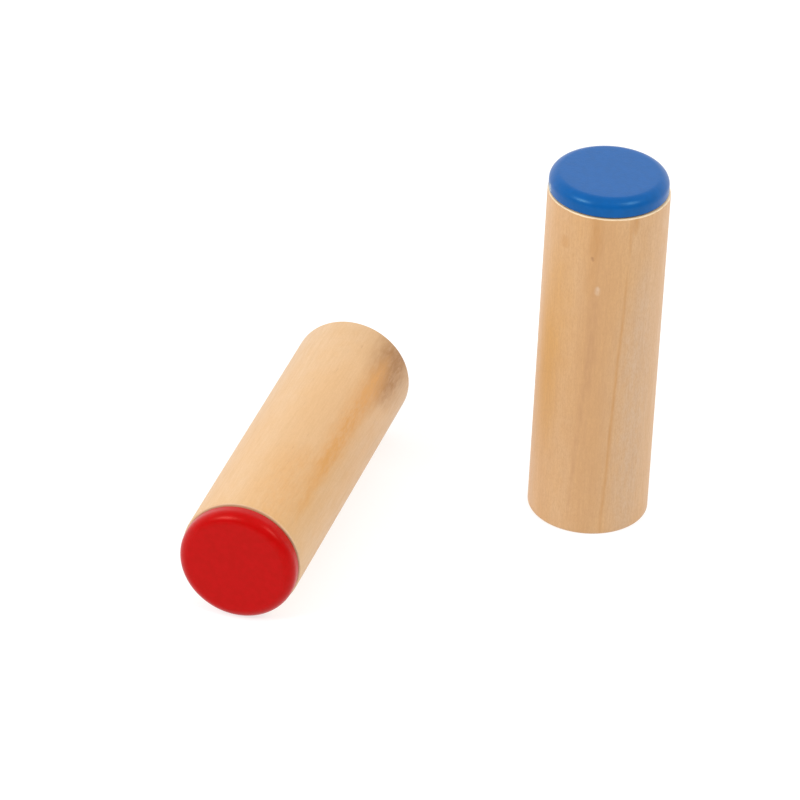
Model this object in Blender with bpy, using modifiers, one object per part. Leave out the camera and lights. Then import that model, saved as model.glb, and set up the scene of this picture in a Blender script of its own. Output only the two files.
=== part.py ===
# A pair of wooden sound cylinders, the kind that is shaken beside the ear.
#
# Each one is a thick turned cup with a deep blind bore, closed by a painted cap whose plug pushes into the
# mouth, and a few loose wooden beads rattle in the chamber between them. The cylinder with the blue cap
# stands on its closed end. The one with the red cap lies beside it with its cap to the front, towards -Y.
#
# Metres, +Z up. The surface that they rest on is z = 0, and the origin is under the middle of the pair.

import math

import bmesh
import bpy
from mathutils import Vector

# Body: a turned cup
BODY_RADIUS = 0.019
BODY_LENGTH = 0.1146
WALL = 0.005
FLOOR = 0.008  # wood left under the blind bore
END_ROUND = 0.001  # outer edge of the closed end
RIM_ROUND = 0.0005  # outer edge of the mouth
MOUTH_CHAMFER = 0.0004  # inner edge of the mouth
BORE_FILLET = 0.002  # where the bore meets its floor

# Cap: a head that covers the mouth, and a plug that goes into the bore
CAP_INSET = 0.0004  # how far the head stays inside the body's outer edge
CAP_HEIGHT = 0.0058
CAP_ROUND = 0.0034  # top edge of the head
CAP_UNDER_ROUND = 0.0004  # bottom edge of the head
PLUG_LENGTH = 0.010
PLUG_CHAMFER = 0.001
CAP_SHIFT = 0.0002  # how far each cap sits off centre in its mouth

# Beads
BEAD_RADIUS = 0.0044
RING_BEADS = 6  # on the floor of the standing cylinder, round a middle one
TOP_BEADS = 3  # in the hollows above them
ROW_BEADS = 5  # in each of the two rows along the lying cylinder

# Clearances
SEAT_GAP = 0.0003  # under the cap's head, to the mouth
PLUG_GAP = 0.0003  # from the plug to the bore, where it comes closest
BEAD_GAP = 0.0003  # bead to bead, and bead to wood

# Layout on the surface
AXIS_SPACING = 0.0844  # between the two axes, along X
STAND_BACK = 0.0184  # from the lying cylinder's closed end forward to the standing axis

# Facets
TURN_STEPS = 64
ROUND_STEPS = 3  # along a small rounded edge
CAP_ROUND_STEPS = 6
BEAD_SEGMENTS = 12
BEAD_RINGS = 8
SHARP_ANGLE = math.radians(40)

# Finishes: base colour, roughness
WOOD = ((0.72, 0.50, 0.30), 0.45)
BLUE_PAINT = ((0.02, 0.12, 0.48), 0.3)
RED_PAINT = ((0.62, 0.01, 0.01), 0.3)
BEAD_WOOD = ((0.55, 0.33, 0.17), 0.5)

# What follows from them
BORE_RADIUS = BODY_RADIUS - WALL
CAP_RADIUS = BODY_RADIUS - CAP_INSET
PLUG_RADIUS = BORE_RADIUS - PLUG_GAP - CAP_SHIFT
SEAT = BODY_LENGTH + SEAT_GAP  # height of the head's underside above the closed end
FULL_LENGTH = SEAT + CAP_HEIGHT
PLUG_END = SEAT - PLUG_LENGTH
BEAD_PITCH = 2 * BEAD_RADIUS + BEAD_GAP
BEAD_REACH = BORE_RADIUS - BEAD_RADIUS - BEAD_GAP  # from the bore's axis to a bead that lies against its wall


def clear_scene():
    for obj in list(bpy.data.objects):
        bpy.data.objects.remove(obj, do_unlink=True)


def make_collection(name):
    collection = bpy.data.collections.new(name)
    bpy.context.scene.collection.children.link(collection)
    return collection


def make_material(name, finish):
    colour, roughness = finish
    material = bpy.data.materials.new(name)
    material.use_nodes = True
    shader = material.node_tree.nodes["Principled BSDF"]
    shader.inputs["Base Color"].default_value = (*colour, 1.0)
    shader.inputs["Roughness"].default_value = roughness
    shader.inputs["Metallic"].default_value = 0.0
    return material


def make_empty(name, collection, location, parent=None, tilt=0.0):
    empty = bpy.data.objects.new(name, None)
    empty.empty_display_size = 0.01
    empty.location = location
    empty.rotation_euler = (tilt, 0.0, 0.0)
    empty.parent = parent
    collection.objects.link(empty)
    return empty


def add_piece(name, mesh, collection, parent, location, finish):
    """One sub-part in its own object, with its own material."""
    piece = bpy.data.objects.new(name, mesh)
    piece.location = location
    piece.parent = parent
    collection.objects.link(piece)
    if not mesh.materials:
        mesh.materials.append(None)
    piece.material_slots[0].link = "OBJECT"
    piece.material_slots[0].material = make_material(name, finish)
    return piece


def arc(centre_r, centre_z, radius, start, end, steps):
    """Points (r, z) along an arc, with its angles in degrees from the +r direction."""
    points = []
    for step in range(steps + 1):
        angle = math.radians(start + (end - start) * step / steps)
        points.append((centre_r + radius * math.cos(angle), centre_z + radius * math.sin(angle)))
    return points


def turned_mesh(name, profile):
    """The solid that a profile of (r, z) points sweeps about Z. It runs down its outer side."""
    line = bpy.data.meshes.new(name + "_profile")
    vertices = [(r, 0.0, z) for r, z in profile]
    line.from_pydata(vertices, [(i, i + 1) for i in range(len(vertices) - 1)], [])
    lathe = bpy.data.objects.new(name + "_lathe", line)
    bpy.context.scene.collection.objects.link(lathe)
    screw = lathe.modifiers.new("Turn", "SCREW")
    screw.axis = "Z"
    screw.angle = 2 * math.pi
    screw.steps = TURN_STEPS
    screw.render_steps = TURN_STEPS
    screw.use_merge_vertices = True
    screw.merge_threshold = 0.00001
    graph = bpy.context.evaluated_depsgraph_get()
    mesh = bpy.data.meshes.new_from_object(lathe.evaluated_get(graph))
    mesh.name = name
    bpy.data.objects.remove(lathe, do_unlink=True)
    bpy.data.meshes.remove(line)
    mesh.shade_smooth()
    mesh.set_sharp_from_angle(angle=SHARP_ANGLE)
    return mesh


def body_profile():
    """Up the inside of the cup from the middle of its floor, over the rim and down the outside."""
    profile = [(0.0, FLOOR)]
    profile += arc(BORE_RADIUS - BORE_FILLET, FLOOR + BORE_FILLET, BORE_FILLET, -90, 0, ROUND_STEPS)
    profile.append((BORE_RADIUS, BODY_LENGTH - MOUTH_CHAMFER))
    profile.append((BORE_RADIUS + MOUTH_CHAMFER, BODY_LENGTH))
    profile += arc(BODY_RADIUS - RIM_ROUND, BODY_LENGTH - RIM_ROUND, RIM_ROUND, 90, 0, ROUND_STEPS)
    profile += arc(BODY_RADIUS - END_ROUND, END_ROUND, END_ROUND, 0, -90, ROUND_STEPS)
    profile.append((0.0, 0.0))
    return profile


def cap_profile():
    """Out from the middle of the head's top, round its edge and down the plug. Its seat is z = 0."""
    profile = [(0.0, CAP_HEIGHT)]
    profile += arc(CAP_RADIUS - CAP_ROUND, CAP_HEIGHT - CAP_ROUND, CAP_ROUND, 90, 0, CAP_ROUND_STEPS)
    profile += arc(CAP_RADIUS - CAP_UNDER_ROUND, CAP_UNDER_ROUND, CAP_UNDER_ROUND, 0, -90, ROUND_STEPS)
    profile.append((PLUG_RADIUS, 0.0))
    profile.append((PLUG_RADIUS, PLUG_CHAMFER - PLUG_LENGTH))
    profile.append((PLUG_RADIUS - PLUG_CHAMFER, -PLUG_LENGTH))
    profile.append((0.0, -PLUG_LENGTH))
    return profile


def bead_mesh(name):
    ball = bmesh.new()
    bmesh.ops.create_uvsphere(ball, u_segments=BEAD_SEGMENTS, v_segments=BEAD_RINGS, radius=BEAD_RADIUS)
    mesh = bpy.data.meshes.new(name)
    ball.to_mesh(mesh)
    ball.free()
    mesh.shade_smooth()
    return mesh


def dropped(spots, floor_height):
    """Each (x, y) spot with the height at which a bead let down there meets the floor or an earlier bead."""
    places = []
    for x, y in spots:
        height = floor_height
        for other in places:
            apart = math.hypot(x - other.x, y - other.y)
            if apart < BEAD_PITCH:
                height = max(height, other.z + math.sqrt(BEAD_PITCH**2 - apart**2))
        places.append(Vector((x, y, height)))
    return places


def heap_places():
    """Beads on the floor of an upright bore: one in the middle, a ring round it, then some in the hollows."""
    spots = [(0.0, 0.0)]
    ring = min(BEAD_PITCH, BEAD_REACH)
    for i in range(RING_BEADS):
        angle = 2 * math.pi * i / RING_BEADS
        spots.append((ring * math.cos(angle), ring * math.sin(angle)))
    hollow = BEAD_PITCH / math.sqrt(3)
    for i in range(TOP_BEADS):
        angle = 2 * math.pi * (i / TOP_BEADS + 0.5 / RING_BEADS)
        spots.append((hollow * math.cos(angle), hollow * math.sin(angle)))
    return dropped(spots, FLOOR + BEAD_RADIUS + BEAD_GAP)


def row_places():
    """Two rows of beads side by side along the bottom of a lying bore, whose bottom is at -Y."""
    half_pitch = BEAD_PITCH / 2
    low = -math.sqrt(BEAD_REACH**2 - half_pitch**2)
    middle = (FLOOR + PLUG_END) / 2
    places = []
    for i in range(ROW_BEADS):
        along = middle + BEAD_PITCH * (i - (ROW_BEADS - 1) / 2)
        places.append(Vector((-half_pitch, low, along)))
        places.append(Vector((half_pitch, low, along)))
    return places


def build_cylinder(colour, collection, base, tilt, paint, cap_side, bead_places):
    """One cylinder about its own Z axis, with its closed end at the base and its cap a little off centre."""
    frame = make_empty(colour + "_cylinder", collection, base, tilt=tilt)
    body = turned_mesh(colour + "_body", body_profile())
    add_piece(colour + "_body", body, collection, frame, (0.0, 0.0, 0.0), WOOD)
    cap = turned_mesh(colour + "_cap", cap_profile())
    cap_place = CAP_SHIFT * cap_side + Vector((0.0, 0.0, SEAT))
    add_piece(colour + "_cap", cap, collection, frame, cap_place, paint)
    fill = make_empty(colour + "_fill", collection, (0.0, 0.0, 0.0), parent=frame)
    bead = bead_mesh(colour + "_bead")
    for number, place in enumerate(bead_places, start=1):
        add_piece(f"{colour}_bead_{number:02d}", bead, collection, fill, place, BEAD_WOOD)


def build_pair():
    """Both cylinders, with the origin under the middle of the box that they fill."""
    collection = make_collection("sound_cylinders")
    back = max(STAND_BACK, BODY_RADIUS)  # both measured forward from the standing axis
    front = STAND_BACK - FULL_LENGTH
    standing_y = -(back + front) / 2
    standing_base = Vector((AXIS_SPACING / 2, standing_y, 0.0))
    lying_base = Vector((-AXIS_SPACING / 2, standing_y + STAND_BACK, BODY_RADIUS))
    left, down = Vector((-1.0, 0.0, 0.0)), Vector((0.0, -1.0, 0.0))  # in each cylinder's own frame
    build_cylinder("blue", collection, standing_base, 0.0, BLUE_PAINT, left, heap_places())
    build_cylinder("red", collection, lying_base, math.pi / 2, RED_PAINT, down, row_places())


clear_scene()
build_pair()
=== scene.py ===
# Wooden sound cylinders. The one with the blue cap stands, the one with the red cap lies beside it,
# and both hold loose wooden beads. Metres, +Z up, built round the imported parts.
# Every piece is turned about its own axis, Z up from its closed end, and then put in its place.

import math

import bmesh
import bpy
from mathutils import Euler, Matrix, Vector, noise


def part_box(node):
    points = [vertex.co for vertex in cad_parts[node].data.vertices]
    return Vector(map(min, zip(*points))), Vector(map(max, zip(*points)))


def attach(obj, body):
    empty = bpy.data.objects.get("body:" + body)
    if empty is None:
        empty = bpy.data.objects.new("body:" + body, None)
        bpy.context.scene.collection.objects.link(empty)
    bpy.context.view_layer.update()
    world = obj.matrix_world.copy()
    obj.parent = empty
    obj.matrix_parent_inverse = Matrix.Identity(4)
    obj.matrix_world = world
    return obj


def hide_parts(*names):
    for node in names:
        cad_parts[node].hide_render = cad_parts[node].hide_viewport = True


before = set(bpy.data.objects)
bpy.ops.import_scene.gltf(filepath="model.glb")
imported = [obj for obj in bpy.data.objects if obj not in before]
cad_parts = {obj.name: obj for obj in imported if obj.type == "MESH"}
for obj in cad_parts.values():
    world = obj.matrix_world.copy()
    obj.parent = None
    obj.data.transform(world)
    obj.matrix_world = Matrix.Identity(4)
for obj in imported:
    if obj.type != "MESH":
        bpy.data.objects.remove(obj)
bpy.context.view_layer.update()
mm = 0.001
print("packed parts loaded:", len(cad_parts), "nodes")


# places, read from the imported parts
def upright(node):
    low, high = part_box(node)
    middle = (low + high) / 2
    base = Vector((middle.x, middle.y, low.z))
    return {"base": base, "turn": 0.0, "long": high.z - low.z, "radius": (high.x - low.x) / 2}


def lyingDown(node):
    low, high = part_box(node)
    middle = (low + high) / 2
    base = Vector((middle.x, high.y, middle.z))
    return {"base": base, "turn": math.pi / 2, "long": high.y - low.y, "radius": (high.x - low.x) / 2}


def placing(place):
    return Matrix.Translation(place["base"]) @ Matrix.Rotation(place["turn"], 4, "X")


# lathe work
# corners are (radius, height, rounding) from the axis, round the outline and back to the axis
def turnOnLathe(corners, steps, ringGap, roundSegments=10):
    bm = bmesh.new()
    verts = [bm.verts.new((radius, 0, height)) for radius, height, rounding in corners]
    for start, end in zip(verts, verts[1:]):
        bm.edges.new((start, end))
    for vert, (radius, height, rounding) in zip(verts, corners):
        if rounding:
            first, second = (edge.other_vert(vert).co - vert.co for edge in vert.link_edges)
            reach = rounding / math.tan(first.angle(second) / 2)
            bmesh.ops.bevel(bm, geom=[vert], offset=reach, offset_type="OFFSET", affect="VERTICES",
                            segments=roundSegments, profile=0.5, material=-1, clamp_overlap=False)
    for edge in [e for e in bm.edges if e.calc_length() > 1.5 * ringGap]:
        bmesh.ops.subdivide_edges(bm, edges=[edge], cuts=round(edge.calc_length() / ringGap) - 1)
    bmesh.ops.spin(bm, geom=bm.verts[:] + bm.edges[:], cent=(0, 0, 0), axis=(0, 0, 1),
                   angle=2 * math.pi, steps=steps, use_merge=True)
    bmesh.ops.remove_doubles(bm, verts=bm.verts, dist=0.001 * mm)
    bmesh.ops.recalc_face_normals(bm, faces=bm.faces)
    return bm


def finishPiece(bm, name, body, replaced, material, sharpAngle=35):
    mesh = bpy.data.meshes.new(name)
    bm.to_mesh(mesh)
    bm.free()
    mesh.shade_smooth()
    mesh.set_sharp_from_angle(angle=math.radians(sharpAngle))
    mesh.materials.append(material)
    piece = bpy.data.objects.new(name, mesh)
    bpy.context.scene.collection.objects.link(piece)
    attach(piece, body)
    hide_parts(replaced)
    return piece


# material helpers
def newMaterial(name):
    material = bpy.data.materials.new(name)
    material.use_nodes = True
    return material, material.node_tree, material.node_tree.nodes["Principled BSDF"]


def addNode(tree, kind, **settings):
    node = tree.nodes.new(kind)
    for key, value in settings.items():
        setattr(node, key, value)
    return node


def maths(tree, operation, first, second=None, third=None, clamp=False):
    node = tree.nodes.new("ShaderNodeMath")
    node.operation = operation
    node.use_clamp = clamp
    for socket, value in zip(node.inputs, (first, second, third)):
        if isinstance(value, (int, float)):
            socket.default_value = value
        elif value is not None:
            tree.links.new(value, socket)
    return node.outputs[0]


def vectorMaths(tree, operation, first, second=None, scale=None):
    node = tree.nodes.new("ShaderNodeVectorMath")
    node.operation = operation
    for socket, value in zip(node.inputs, (first, second)):
        if isinstance(value, (tuple, Vector)):
            socket.default_value = value
        elif value is not None:
            tree.links.new(value, socket)
    if isinstance(scale, (int, float)):
        node.inputs["Scale"].default_value = scale
    elif scale is not None:
        tree.links.new(scale, node.inputs["Scale"])
    return node.outputs["Value"] if operation in ("LENGTH", "DOT_PRODUCT") else node.outputs["Vector"]


def noiseOf(tree, coords, scale, detail=2.0, roughness=0.5, dimensions="3D"):
    node = addNode(tree, "ShaderNodeTexNoise", noise_dimensions=dimensions)
    node.inputs["Scale"].default_value = scale
    node.inputs["Detail"].default_value = detail
    node.inputs["Roughness"].default_value = roughness
    tree.links.new(coords, node.inputs["W" if dimensions == "1D" else "Vector"])
    return node


# a smooth step from low to high; noise stays near 0.5, so its limits lie close round that
def spread(tree, value, low, high, newLow=0.0, newHigh=1.0):
    node = addNode(tree, "ShaderNodeMapRange", interpolation_type="SMOOTHSTEP")
    for name, number in (("From Min", low), ("From Max", high), ("To Min", newLow), ("To Max", newHigh)):
        node.inputs[name].default_value = number
    tree.links.new(value, node.inputs["Value"])
    return node.outputs["Result"]


def mixColour(tree, amount, first, second):
    node = addNode(tree, "ShaderNodeMix", data_type="RGBA")
    tree.links.new(amount, node.inputs["Factor"])
    for socket, colour in ((node.inputs[6], first), (node.inputs[7], second)):  # the two colour sockets
        if isinstance(colour, tuple):
            socket.default_value = (*colour, 1)
        else:
            tree.links.new(colour, socket)
    return node.outputs[2]


def ownCoords(tree, place):
    coords = addNode(tree, "ShaderNodeTexCoord")
    mapping = addNode(tree, "ShaderNodeMapping", vector_type="TEXTURE")
    mapping.inputs["Location"].default_value = place["base"]
    mapping.inputs["Rotation"].default_value = (place["turn"], 0, 0)
    tree.links.new(coords.outputs["Object"], mapping.inputs["Vector"])
    return mapping.outputs["Vector"]


# stretches a pattern along the grain
def drawnOut(tree, coords, share):
    return vectorMaths(tree, "MULTIPLY", coords, (1, 1, share))


# moves a pattern's coordinates about, by a noise colour
def strayed(tree, coords, wander, reach):
    offset = vectorMaths(tree, "SCALE", vectorMaths(tree, "SUBTRACT", wander, (0.5, 0.5, 0.5)), scale=reach)
    return vectorMaths(tree, "ADD", coords, offset)


def heightOf(tree, coords):
    split = addNode(tree, "ShaderNodeSeparateXYZ")
    tree.links.new(coords, split.inputs["Vector"])
    return split.outputs["Z"]


def addBump(tree, shader, height, strength, depth):
    bump = addNode(tree, "ShaderNodeBump")
    bump.inputs["Strength"].default_value = strength
    bump.inputs["Distance"].default_value = depth
    tree.links.new(height, bump.inputs["Height"])
    tree.links.new(bump.outputs["Normal"], shader.inputs["Normal"])


# a streak runs between two places on the turned side, each given as its angle in degrees and its height
def streakAmount(tree, coords, radius, start, end, wide, strength):
    first, last = (
        Vector((radius * math.cos(math.radians(angle)), radius * math.sin(math.radians(angle)), height))
        for angle, height in (start, end)
    )
    along = last - first
    offset = vectorMaths(tree, "SUBTRACT", coords, first)
    reached = vectorMaths(tree, "DOT_PRODUCT", offset, along)
    share = maths(tree, "MULTIPLY", reached, 1 / along.length_squared, clamp=True)
    nearest = vectorMaths(tree, "SCALE", tuple(along), scale=share)
    distance = vectorMaths(tree, "LENGTH", vectorMaths(tree, "SUBTRACT", offset, nearest))
    fromMiddle = maths(tree, "ABSOLUTE", maths(tree, "MULTIPLY_ADD", share, 2, -1))
    tip = maths(tree, "POWER", fromMiddle, 4)  # it narrows to its ends
    return spread(tree, maths(tree, "MULTIPLY_ADD", tip, 0.8 * wide, distance), 0, wide, strength, 0)


# body wood: pale, with a close straight grain, under a satin clear coat
# a scale says how fine a pattern is, and the smaller its stretch, the longer it is along the grain
grain = {
    "fibreScale": 1900,
    "fibreStretch": 0.06,
    "speckScale": 2300,
    "speckStretch": 0.4,
    "bandScale": 330,
    "bandStretch": 0.05,
    "cloudScale": 60,
    "cloudStretch": 0.2,
    "mottleScale": 260,
    "mottleStretch": 0.6,
    "poreScale": 1700,
    "poreStretch": 0.12,
    "driftStretch": 0.25,
    "ringSharpness": 6.0,
    "raggedScale": 350,  # the fibrous edges of the streaks
    "raggedStretch": 0.15,
    "raggedReach": 1.5 * mm,
    "patchScale": 700,  # and their uneven strength
    "patchStretch": 0.3,
    "rimSoftness": 0.1 * mm,
    "rimWide": 1.0 * mm,
    "rimFade": 0.3 * mm,
    "coatRoughness": 0.38,
    "bumpStrength": 0.3,
    "bumpDepth": 0.05 * mm,
}


def bodyWood(name, place, look):
    material, tree, shader = newMaterial(name)
    own = ownCoords(tree, place)
    # a board never grows quite straight, so the grain drifts as it goes up the piece
    slow = noiseOf(tree, drawnOut(tree, own, grain["driftStretch"]), look["driftScale"], detail=1)
    lean = addNode(tree, "ShaderNodeMapping")
    lean.inputs["Location"].default_value = look["seed"]
    lean.inputs["Rotation"].default_value = look["lean"]
    tree.links.new(strayed(tree, own, slow.outputs["Color"], look["drift"]), lean.inputs["Vector"])
    grown = lean.outputs["Vector"]

    def pattern(kind, **settings):
        stretched = drawnOut(tree, grown, grain[kind + "Stretch"])
        return noiseOf(tree, stretched, grain[kind + "Scale"], **settings).outputs["Fac"]

    # growth rings round a pith that is well outside the piece
    offPith = drawnOut(tree, vectorMaths(tree, "SUBTRACT", grown, look["pith"]), 0)
    fromPith = vectorMaths(tree, "LENGTH", offPith)
    uneven = noiseOf(tree, fromPith, 1 / look["ringWidth"], detail=2, dimensions="1D").outputs["Fac"]
    ringCount = maths(tree, "MULTIPLY", fromPith, 1 / look["ringWidth"])
    ringPhase = maths(tree, "FRACT", maths(tree, "ADD", ringCount, uneven))
    lateWood = maths(tree, "POWER", ringPhase, grain["ringSharpness"])
    ring = maths(tree, "MULTIPLY", lateWood, spread(tree, uneven, 0.35, 0.7))
    # fibres, specks and slow colour changes, drawn out along the grain
    fibre = pattern("fibre", detail=2, roughness=0.6)
    speck = pattern("speck", detail=2, roughness=0.7)
    band = pattern("band", detail=2)
    cloud = pattern("cloud", detail=2)
    mottle = pattern("mottle", detail=3)
    colour = mixColour(tree, spread(tree, cloud, 0.35, 0.65), look["pale"], look["warm"])
    colour = mixColour(tree, spread(tree, band, 0.45, 0.75, 0, look["bands"]), colour, look["brown"])
    colour = mixColour(tree, spread(tree, mottle, 0.35, 0.7, 0, look["mottling"]), colour, look["warm"])
    # streaks of their own, with fibrous edges
    raggedCoords = drawnOut(tree, own, grain["raggedStretch"])
    ragged = noiseOf(tree, raggedCoords, grain["raggedScale"], detail=5, roughness=0.7).outputs["Color"]
    strayedOwn = strayed(tree, own, ragged, grain["raggedReach"])
    patchCoords = drawnOut(tree, own, grain["patchStretch"])
    patch = noiseOf(tree, patchCoords, grain["patchScale"], detail=3, roughness=0.7).outputs["Fac"]
    patchy = spread(tree, patch, 0.3, 0.7, 0.65, 1.2)
    for tone, start, end, width, strength in look["marks"]:
        amount = streakAmount(tree, strayedOwn, place["radius"], start, end, width, strength)
        amount = maths(tree, "MULTIPLY", amount, patchy, clamp=True)
        colour = mixColour(tree, amount, colour, look[tone])
    colour = mixColour(tree, maths(tree, "MULTIPLY", ring, look["rings"]), colour, look["brown"])
    colour = mixColour(tree, spread(tree, fibre, 0.3, 0.7, 0, look["fibres"]), colour, look["brown"])
    colour = mixColour(tree, spread(tree, speck, 0.35, 0.7, 0, look["specks"]), colour, look["speck"])
    # short dark pores
    pores = spread(tree, pattern("pore", detail=1), 0.72, 0.82, 0, look["pores"])
    colour = mixColour(tree, pores, colour, look["fleck"])
    # the mouth's outer edge is painted paler: a painted highlight where the edge catches the light, and the
    # lacquer rubbed thin there
    rimHeight = maths(tree, "ADD", heightOf(tree, own), maths(tree, "MULTIPLY", mottle, look["rimWave"]))
    mouth, soft = place["long"], grain["rimSoftness"]
    atRim = spread(tree, rimHeight, mouth - soft, mouth + soft, 0, look["rimRubbed"])
    fromAxis = vectorMaths(tree, "LENGTH", drawnOut(tree, own, 0))
    inner, fade = place["radius"] - grain["rimWide"], grain["rimFade"]
    outside = spread(tree, fromAxis, inner - fade, inner + fade)
    colour = mixColour(tree, maths(tree, "MULTIPLY", atRim, outside), colour, look["rim"])
    tree.links.new(colour, shader.inputs["Base Color"])
    rough = spread(tree, fibre, 0.3, 0.7, look["roughness"] - 0.05, look["roughness"] + 0.06)
    tree.links.new(rough, shader.inputs["Roughness"])
    shader.inputs["Coat Weight"].default_value = look["coat"]
    shader.inputs["Coat Roughness"].default_value = grain["coatRoughness"]
    height = maths(tree, "SUBTRACT", maths(tree, "ADD", fibre, speck), pores)
    addBump(tree, shader, height, grain["bumpStrength"], grain["bumpDepth"])
    return material


# marks are a tone, (angle, height) to (angle, height), width and strength, with heights from the closed end
blueWoodLook = {
    "pale": (0.60, 0.363, 0.180),
    "warm": (0.59, 0.332, 0.136),
    "brown": (0.40, 0.20, 0.085),
    "golden": (0.58, 0.315, 0.10),
    "orange": (0.50, 0.245, 0.07),
    "grey": (0.56, 0.37, 0.225),
    "white": (0.70, 0.58, 0.47),
    "speck": (0.46, 0.25, 0.095),
    "fleck": (0.22, 0.07, 0.02),
    # a painted highlight on the mouth's outer edge, and lacquer rubbed thin there
    "rim": (0.88, 0.71, 0.47),
    "rimRubbed": 0.75,
    "rimWave": 0.5 * mm,
    "rings": 0.12,
    "fibres": 0.16,
    "bands": 0.12,
    "specks": 0.42,
    "mottling": 0.5,
    "pores": 0.15,
    "ringWidth": 3.1 * mm,
    "pith": (0.060, 0.030, 0),
    "drift": 0.004,
    "driftScale": 14,
    "lean": (0.02, 0.015, 0),
    "seed": (0.0, 0.0, 0.0),
    "roughness": 0.46,
    "coat": 0.15,
    "marks": [
        ("golden", (-124, 105 * mm), (-128, 50 * mm), 9.0 * mm, 0.45),
        ("golden", (-131, 80 * mm), (-125, 25 * mm), 6.0 * mm, 0.65),
        ("grey", (-34, 100 * mm), (-38, -10 * mm), 14 * mm, 0.9),
        ("orange", (-86, 130 * mm), (-85, 98 * mm), 3.2 * mm, 0.9),
        ("orange", (-85, 110 * mm), (-88, 84 * mm), 3.4 * mm, 0.4),
        ("brown", (-76, 135 * mm), (-80, -20 * mm), 11 * mm, 0.3),
        ("brown", (-83, 92 * mm), (-84, 50 * mm), 3.0 * mm, 0.42),
        ("brown", (-84, 76 * mm), (-96, 2 * mm), 1.3 * mm, 0.3),
        ("orange", (-54, 118 * mm), (-52.6, 98 * mm), 0.8 * mm, 0.5),
        ("orange", (-53, 104 * mm), (-65, -14 * mm), 1.0 * mm, 0.8),
        ("orange", (-118, 106 * mm), (-117, 101 * mm), 3.0 * mm, 0.5),
        ("orange", (-49, 118 * mm), (-49, 108 * mm), 2.0 * mm, 0.8),
        ("fleck", (-88.3, 101.2 * mm), (-86.8, 99.2 * mm), 0.75 * mm, 0.8),
        ("white", (-80.7, 91.0 * mm), (-81.4, 87.4 * mm), 1.2 * mm, 0.5),
    ],
}
redWoodLook = dict(
    blueWoodLook,
    pale=(0.62, 0.395, 0.20),
    warm=(0.62, 0.372, 0.165),
    brown=(0.34, 0.14, 0.010),
    golden=(0.60, 0.275, 0.045),
    seed=(0.3, 0.1, 0.2),
    # a weaker painted highlight on the mouth's outer edge, and lacquer rubbed thin there
    rim=(0.62, 0.44, 0.30),
    rimRubbed=0.5,
    fibres=0.07,
    bands=0.05,
    specks=0.18,
    rings=0.05,
    marks=[
        # the wide brown streaks darken one side of the body towards its closed end
        ("brown", (38, -25 * mm), (30, 32 * mm), 13 * mm, 0.95),
        ("brown", (38, -10 * mm), (40, 45 * mm), 7.0 * mm, 0.45),
        ("golden", (42, 5 * mm), (44, 92 * mm), 7.0 * mm, 0.85),
        ("golden", (45, 60 * mm), (40, 108 * mm), 3.4 * mm, 0.5),
        ("golden", (64, 70 * mm), (62, 135 * mm), 14 * mm, 0.42),
    ],
)


# bodies: a turned cup with a deep drilled bore
bodyShape = {
    "wall": 5 * mm,
    "floor": 8 * mm,
    "endRound": 1 * mm,
    "rimRound": 0.5 * mm,
    "mouthChamfer": 0.4 * mm,
    "boreFillet": 2 * mm,
    "drillMark": 0.03 * mm,  # how deep the drill's rings are in the bore
    "drillMarkGap": 1.3 * mm,
    "drillMarkHalf": 0.2 * mm,  # half a ring's width
    "drillPoint": (2.2 * mm, 1.0 * mm),  # radius and depth of the pit in the bore's floor
    "centreMark": (0.9 * mm, 0.5 * mm),  # the lathe's centre in the closed end
    "ringGap": 4 * mm,
    "steps": 192,
}


def bodyCorners(place, shape):
    bore = place["radius"] - shape["wall"]
    pitRadius, pitDepth = shape["drillPoint"]
    corners = [(0, shape["floor"] - pitDepth, 0), (pitRadius, shape["floor"], 0)]
    corners.append((bore, shape["floor"], shape["boreFillet"]))
    height = place["long"] - 3 * shape["drillMarkGap"]
    marks = []
    while height > place["long"] * 0.5:
        marks.append(height)
        height -= shape["drillMarkGap"]
    for mark in reversed(marks):
        corners.append((bore, mark - shape["drillMarkHalf"], 0))
        corners.append((bore + shape["drillMark"], mark, 0))
        corners.append((bore, mark + shape["drillMarkHalf"], 0))
    corners.append((bore, place["long"] - shape["mouthChamfer"], 0))
    corners.append((bore + shape["mouthChamfer"], place["long"], 0))
    corners.append((place["radius"], place["long"], shape["rimRound"]))
    corners.append((place["radius"], 0, shape["endRound"]))
    corners.append((shape["centreMark"][0], 0, 0))
    corners.append((0, shape["centreMark"][1], 0))
    return corners


def makeBody(name, node, body, place, shape, material):
    bm = turnOnLathe(bodyCorners(place, shape), shape["steps"], shape["ringGap"])
    bmesh.ops.transform(bm, matrix=placing(place), verts=bm.verts)
    return finishPiece(bm, name, body, node, material)


bluePlace = upright("blue_body")
redPlace = lyingDown("red_body")
blueWood = bodyWood("blueBodyWood", bluePlace, blueWoodLook)
redWood = bodyWood("redBodyWood", redPlace, redWoodLook)
makeBody("blueBody", "blue_body", "blue_cylinder", bluePlace, bodyShape, blueWood)
makeBody("redBody", "red_body", "red_cylinder", redPlace, bodyShape, redWood)
print("bodies turned and bored")


# caps: a painted head and a bare plug, turned in one piece
capShape = {
    "head": 5.8 * mm,
    "headRound": 3.4 * mm,
    "underRound": 0.5 * mm,
    "plug": 13.5 * mm,  # radius
    "plugChamfer": 1 * mm,
    "rootGroove": (0.25 * mm, 0.8 * mm),  # depth and height of the relief groove at the plug's root
    "centreMark": (0.9 * mm, 0.5 * mm),
    "ringGap": 1.5 * mm,
    "roundSegments": 16,
    "steps": 192,
}
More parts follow.
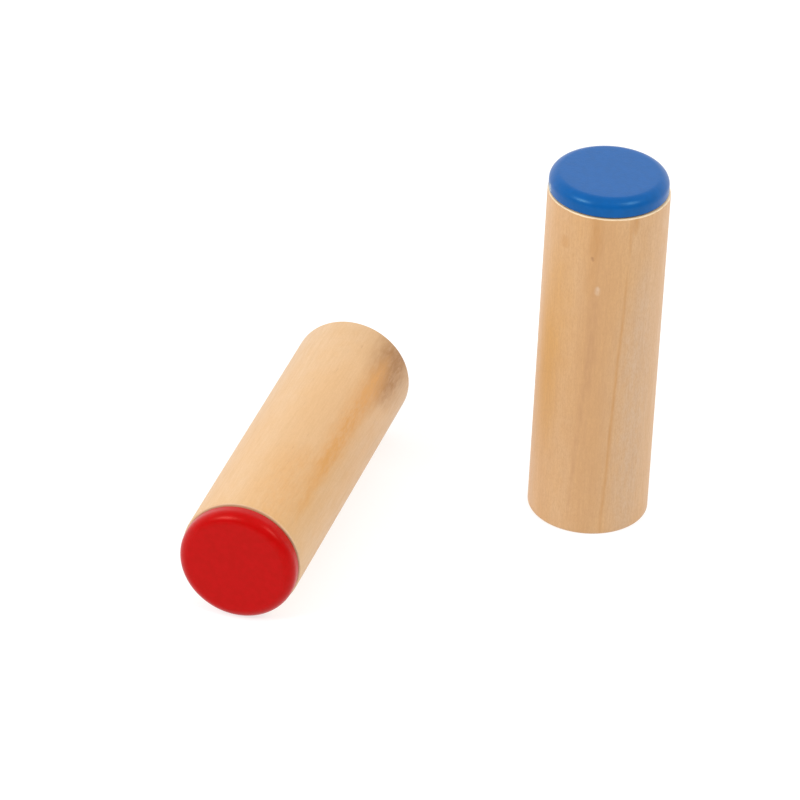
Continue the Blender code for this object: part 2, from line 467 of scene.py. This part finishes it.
# what both paints share
paintWork = {
    "mottleScale": 500,
    "chipScale": 1500,
    "edgeScale": 300,
    "edgeWave": 0.9 * mm,
    "edgeBelowSeat": 0.5 * mm,
    "edgeSoftness": 0.05 * mm,
    "fibreScale": 1900,
    "fibreStretch": 0.05,
    "barePale": (0.72, 0.50, 0.28),
    "bareDark": (0.58, 0.36, 0.17),
    "bareRoughness": 0.55,
    "peelScale": 1300,
    "peelStretch": 0.3,
    "peelDepth": 0.05 * mm,
    "fibreRelief": 0.6,  # how much of the wood's fibre shows in it
}


def paint(name, place, seat, look):
    material, tree, shader = newMaterial(name)
    own = ownCoords(tree, place)
    height = heightOf(tree, own)
    mottle = noiseOf(tree, own, paintWork["mottleScale"], detail=4, roughness=0.6).outputs["Fac"]
    colour = mixColour(tree, spread(tree, mottle, 0.35, 0.65), look["colour"], look["thin"])
    # it is rubbed thin and chipped along its lower edge
    chip = noiseOf(tree, own, paintWork["chipScale"], detail=3, roughness=0.6).outputs["Fac"]
    nearEdge = spread(tree, height, seat, seat + look["chipHigh"], 1, 0)
    chips = maths(tree, "MULTIPLY", spread(tree, chip, 0.5, 0.66), nearEdge)
    colour = mixColour(tree, maths(tree, "MULTIPLY", chips, look["chips"]), colour, look["chipped"])
    # pale patches: wear, and on the red cap a painted highlight along its lower edge
    for start, end, width, strength in look["wornAndLit"]:
        patch = streakAmount(tree, own, place["radius"], start, end, width, strength)
        patch = maths(tree, "MULTIPLY", patch, spread(tree, chip, 0.3, 0.6))
        colour = mixColour(tree, patch, colour, look["wornAndLitColour"])
    # the plug is bare wood, and the paint ends in a slightly wavy line at its root
    wave = noiseOf(tree, own, paintWork["edgeScale"], detail=2).outputs["Fac"]
    wave = maths(tree, "MULTIPLY", maths(tree, "SUBTRACT", wave, 0.5), paintWork["edgeWave"])
    edge, soft = seat - paintWork["edgeBelowSeat"], paintWork["edgeSoftness"]
    painted = spread(tree, maths(tree, "ADD", height, wave), edge - soft, edge + soft)
    fibreCoords = drawnOut(tree, own, paintWork["fibreStretch"])
    fibre = noiseOf(tree, fibreCoords, paintWork["fibreScale"], detail=3).outputs["Fac"]
    bare = mixColour(tree, spread(tree, fibre, 0.3, 0.7), paintWork["barePale"], paintWork["bareDark"])
    tree.links.new(mixColour(tree, painted, bare, colour), shader.inputs["Base Color"])
    shader.inputs["IOR"].default_value = look["ior"]
    shader.inputs["Specular IOR Level"].default_value = look["gloss"]
    shader.inputs["Specular Tint"].default_value = (*look["glossTint"], 1)
    bareRoughness = paintWork["bareRoughness"]
    rough = maths(tree, "MULTIPLY_ADD", painted, look["roughness"] - bareRoughness, bareRoughness)
    tree.links.new(rough, shader.inputs["Roughness"])
    peelCoords = drawnOut(tree, own, paintWork["peelStretch"])
    peel = noiseOf(tree, peelCoords, paintWork["peelScale"], detail=1).outputs["Fac"]
    relief = maths(tree, "ADD", peel, maths(tree, "MULTIPLY", fibre, paintWork["fibreRelief"]))
    addBump(tree, shader, relief, look["peel"], paintWork["peelDepth"])
    return material


# worn and lit patches are (angle, height) to (angle, height), width and strength, with heights from the
# closed end; the red cap's thin pale line along its lower edge is a painted highlight
bluePaintLook = {
    "colour": (0.0, 0.074, 0.280),
    "thin": (0.0, 0.080, 0.305),
    "roughness": 0.3,
    "ior": 1.25,
    "gloss": 1.0,
    "glossTint": (0.42, 0.9, 1),
    "peel": 0.4,
    "chipHigh": 0.9 * mm,
    "chips": 0.6,
    "chipped": (0.03, 0.05, 0.08),
    "wornAndLitColour": (0.45, 0.50, 0.46),
    "wornAndLit": [
        ((-168, 115.2 * mm), (-146, 116.2 * mm), 1.6 * mm, 0.8),
        ((-150, 118.0 * mm), (-152, 116.0 * mm), 1.2 * mm, 0.5),
        ((-128, 115.0 * mm), (-60, 115.0 * mm), 0.4 * mm, 0.35),
    ],
}
redPaintLook = {
    "colour": (0.405, 0.0, 0.0),
    "thin": (0.44, 0.0, 0.001),
    "roughness": 0.3,
    "ior": 1.25,
    "gloss": 1.0,
    "glossTint": (1, 0.3, 0.24),
    "peel": 0.4,
    "chipHigh": 0.6 * mm,
    "chips": 0.3,
    "chipped": (0.10, 0.01, 0.02),
    # a painted highlight: a pale line along the cap's lower edge
    "wornAndLitColour": (0.60, 0.45, 0.42),
    "wornAndLit": [
        ((40, 115.0 * mm), (75, 115.0 * mm), 0.4 * mm, 0.5),
    ],
}


def capCorners(place, seat, shape):
    grooveDepth, grooveHigh = shape["rootGroove"]
    radius = place["radius"]
    return [
        (0, seat + shape["head"], 0),
        (radius, seat + shape["head"], shape["headRound"]),
        (radius, seat, shape["underRound"]),
        (shape["plug"] - grooveDepth, seat, 0),
        (shape["plug"] - grooveDepth, seat - grooveHigh, 0),
        (shape["plug"], seat - grooveHigh - grooveDepth, 0),
        (shape["plug"], place["plugEnd"] + shape["plugChamfer"], 0),
        (shape["plug"] - shape["plugChamfer"], place["plugEnd"], 0),
        (shape["centreMark"][0], place["plugEnd"], 0),
        (0, place["plugEnd"] + shape["centreMark"][1], 0),
    ]


# the cap's own axis is a little off the body's, so its place is read from its own node
def capPlace(place, node):
    low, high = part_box(node)
    middle = (low + high) / 2
    if place["turn"]:
        base = Vector((middle.x, place["base"].y, middle.z))
        plugEnd, top = base.y - high.y, base.y - low.y
    else:
        base = Vector((middle.x, middle.y, place["base"].z))
        plugEnd, top = low.z, high.z
    radius = (high.x - low.x) / 2
    return {"base": base, "turn": place["turn"], "radius": radius, "plugEnd": plugEnd, "top": top}


def makeCap(name, node, body, place, shape, look):
    own = capPlace(place, node)
    seat = own["top"] - shape["head"]
    corners = capCorners(own, seat, shape)
    bm = turnOnLathe(corners, shape["steps"], shape["ringGap"], shape["roundSegments"])
    bmesh.ops.transform(bm, matrix=placing(own), verts=bm.verts)
    return finishPiece(bm, name, body, node, paint(name + "Paint", own, seat, look))


makeCap("blueCap", "blue_cap", "blue_cap", bluePlace, capShape, bluePaintLook)
makeCap("redCap", "red_cap", "red_cap", redPlace, capShape, redPaintLook)
print("caps turned and painted")


# beads: small turned balls with a flat at each end of their grain
beadShape = {
    "flat": 0.45 * mm,  # how much the lathe leaves off at each end
    "segments": 40,
    "rings": 24,
    "unevenness": 0.03 * mm,
    "unevenScale": 300,
    "count": 10,  # in each cylinder
}
beadLook = {
    "pale": (0.62, 0.38, 0.19),
    "brown": (0.48, 0.27, 0.12),
    "ringColour": (0.33, 0.16, 0.07),
    "fibreColour": (0.36, 0.19, 0.08),
    "pith": (0.006, 0.011, 0),
    "ringsPerMetre": 900,
    "ringSharpness": 3.0,
    "rings": 0.45,
    "drift": 0.002,
    "driftScale": 200,
    "toneScale": 90,
    "fibres": 0.35,
    "fibreScale": 3000,
    "fibreStretch": 0.06,
    "smoothest": 0.46,
    "roughest": 0.62,
    "bumpStrength": 0.3,
    "bumpDepth": 0.04 * mm,
}


def beadWood(name, look):
    material, tree, shader = newMaterial(name)
    own = addNode(tree, "ShaderNodeAttribute", attribute_name="grain").outputs["Vector"]
    slow = noiseOf(tree, own, look["driftScale"], detail=1).outputs["Fac"]
    offPith = drawnOut(tree, vectorMaths(tree, "SUBTRACT", own, look["pith"]), 0)
    fromPith = vectorMaths(tree, "LENGTH", offPith)
    drifted = maths(tree, "ADD", fromPith, maths(tree, "MULTIPLY", slow, look["drift"]))
    ringPhase = maths(tree, "FRACT", maths(tree, "MULTIPLY", drifted, look["ringsPerMetre"]))
    ring = maths(tree, "POWER", ringPhase, look["ringSharpness"])
    fibreCoords = drawnOut(tree, own, look["fibreStretch"])
    fibre = noiseOf(tree, fibreCoords, look["fibreScale"], detail=3, roughness=0.6).outputs["Fac"]
    tone = noiseOf(tree, own, look["toneScale"], detail=0).outputs["Fac"]
    colour = mixColour(tree, spread(tree, tone, 0.35, 0.65), look["pale"], look["brown"])
    colour = mixColour(tree, maths(tree, "MULTIPLY", ring, look["rings"]), colour, look["ringColour"])
    colour = mixColour(tree, spread(tree, fibre, 0.35, 0.7, 0, look["fibres"]), colour, look["fibreColour"])
    tree.links.new(colour, shader.inputs["Base Color"])
    rough = spread(tree, fibre, 0.3, 0.7, look["smoothest"], look["roughest"])
    tree.links.new(rough, shader.inputs["Roughness"])
    addBump(tree, shader, fibre, look["bumpStrength"], look["bumpDepth"])
    return material


def makeBead(name, node, body, number, shape, material):
    low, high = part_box(node)
    middle = (low + high) / 2
    radius = (high.z - low.z) / 2
    bm = bmesh.new()
    bmesh.ops.create_uvsphere(bm, u_segments=shape["segments"], v_segments=shape["rings"], radius=radius)
    for vert in bm.verts:
        vert.co.z = max(-radius + shape["flat"], min(radius - shape["flat"], vert.co.z))
    seed = Vector((number * 0.37, number * 0.61, number * 0.83))  # makes each bead a different one
    for vert in bm.verts:
        lump = noise.noise(vert.co * shape["unevenScale"] + seed * 10)
        vert.co *= 1 - shape["unevenness"] / radius * (0.5 + 0.5 * lump)
    bmesh.ops.recalc_face_normals(bm, faces=bm.faces)
    grown = bm.verts.layers.float_vector.new("grain")
    for vert in bm.verts:
        vert[grown] = vert.co + seed * 0.03
    turn = Euler((number * 1.9, number * 2.7, number * 1.3)).to_matrix().to_4x4()
    bmesh.ops.transform(bm, matrix=Matrix.Translation(middle) @ turn, verts=bm.verts)
    return finishPiece(bm, name, body, node, material, sharpAngle=25)


beadMaterial = beadWood("beadWood", beadLook)
for colour in ("blue", "red"):
    for number in range(1, beadShape["count"] + 1):
        name, node = f"{colour}Bead{number:02d}", f"{colour}_bead_{number:02d}"
        makeBead(name, node, f"{colour}_beads", number, beadShape, beadMaterial)
print("beads turned:", 2 * beadShape["count"])


# studio
studio = {
    "floorSize": 3,  # from its middle to its edge
    "floorColour": (0.35, 0.35, 0.35),
    "floorRoughness": 0.9,
    "floorGlow": 0.7,  # a light table: the floor is lit from below too
    "ceiling": 1.0,
    "wallInFront": -0.5,  # what the wall behind the camera adds to the ceiling's level
    "wallBehind": 0.45,  # and the wall behind the pieces
    "lightDistance": 1.4,
    "lightSize": 0.4,
    "keySide": (-0.64, -0.46, 0.61),  # right, away from the camera, up
    "keyPower": 8.0,
    "fillSide": (0.54, -0.42, 0.73),
    "fillPower": 4.9,
}
camera = {
    "aim": (-0.03118, 0.07865, 0),
    "azimuth": 15.4,
    "elevation": 32.0,
    "roll": 2.905,
    "distance": 1.9803,
    "lens": 274.5,
    "sensor": 36,
    "sees": 20,  # how far away it still sees anything
}


def makeFloor():
    bm = bmesh.new()
    bmesh.ops.create_grid(bm, x_segments=1, y_segments=1, size=studio["floorSize"])
    mesh = bpy.data.meshes.new("floor")
    bm.to_mesh(mesh)
    bm.free()
    material, tree, shader = newMaterial("paleFloor")
    shader.inputs["Base Color"].default_value = (*studio["floorColour"], 1)
    shader.inputs["Roughness"].default_value = studio["floorRoughness"]
    shader.inputs["Specular IOR Level"].default_value = 0.1
    shader.inputs["Emission Color"].default_value = (1, 1, 1, 1)
    shader.inputs["Emission Strength"].default_value = studio["floorGlow"]
    mesh.materials.append(material)
    floor = bpy.data.objects.new("floor", mesh)
    bpy.context.scene.collection.objects.link(floor)


def makeLight(name, side, power):
    light = bpy.data.lights.new(name, "AREA")
    light.shape = "SQUARE"
    light.size = studio["lightSize"]
    light.energy = power
    lamp = bpy.data.objects.new(name, light)
    heading = Matrix.Rotation(math.radians(camera["azimuth"]), 3, "Z") @ Vector(side)
    lamp.location = heading * studio["lightDistance"]
    lamp.rotation_euler = heading.to_track_quat("Z", "Y").to_euler()
    bpy.context.scene.collection.objects.link(lamp)


def makeCamera():
    lens = bpy.data.cameras.new("camera")
    lens.lens = camera["lens"]
    lens.sensor_width = camera["sensor"]
    lens.clip_end = camera["sees"]
    eye = bpy.data.objects.new("camera", lens)
    tilt = math.pi / 2 - math.radians(camera["elevation"])
    turn = Matrix.Rotation(math.radians(camera["azimuth"]), 4, "Z") @ Matrix.Rotation(tilt, 4, "X")
    turn = turn @ Matrix.Rotation(math.radians(camera["roll"]), 4, "Z")
    eye.matrix_world = Matrix.Translation(Vector(camera["aim"]) + turn.col[2].xyz * camera["distance"]) @ turn
    bpy.context.scene.collection.objects.link(eye)
    bpy.context.scene.camera = eye


# pale walls all round: the one behind the pieces is lit, and the one behind the camera is dim
def makeWalls():
    world = bpy.data.worlds.new("studio")
    bpy.context.scene.world = world
    world.use_nodes = True
    tree = world.node_tree
    heading = addNode(tree, "ShaderNodeTexCoord").outputs["Generated"]
    split = addNode(tree, "ShaderNodeSeparateXYZ")
    tree.links.new(heading, split.inputs["Vector"])
    turn = math.radians(camera["azimuth"])
    away = vectorMaths(tree, "DOT_PRODUCT", heading, (-math.sin(turn), math.cos(turn), 0))
    wall = spread(tree, away, -0.6, 0.5, studio["wallInFront"], studio["wallBehind"])
    low = spread(tree, split.outputs["Z"], 0.3, 0.9, 1, 0)
    level = maths(tree, "MULTIPLY_ADD", wall, low, studio["ceiling"])
    tree.links.new(level, tree.nodes["Background"].inputs["Strength"])
    tree.nodes["Background"].inputs["Color"].default_value = (1, 1, 1, 1)


bpy.context.scene.view_settings.view_transform = "Standard"
makeWalls()
makeFloor()
makeLight("keySoftbox", studio["keySide"], studio["keyPower"])
makeLight("fillSoftbox", studio["fillSide"], studio["fillPower"])
makeCamera()
print("studio set up")
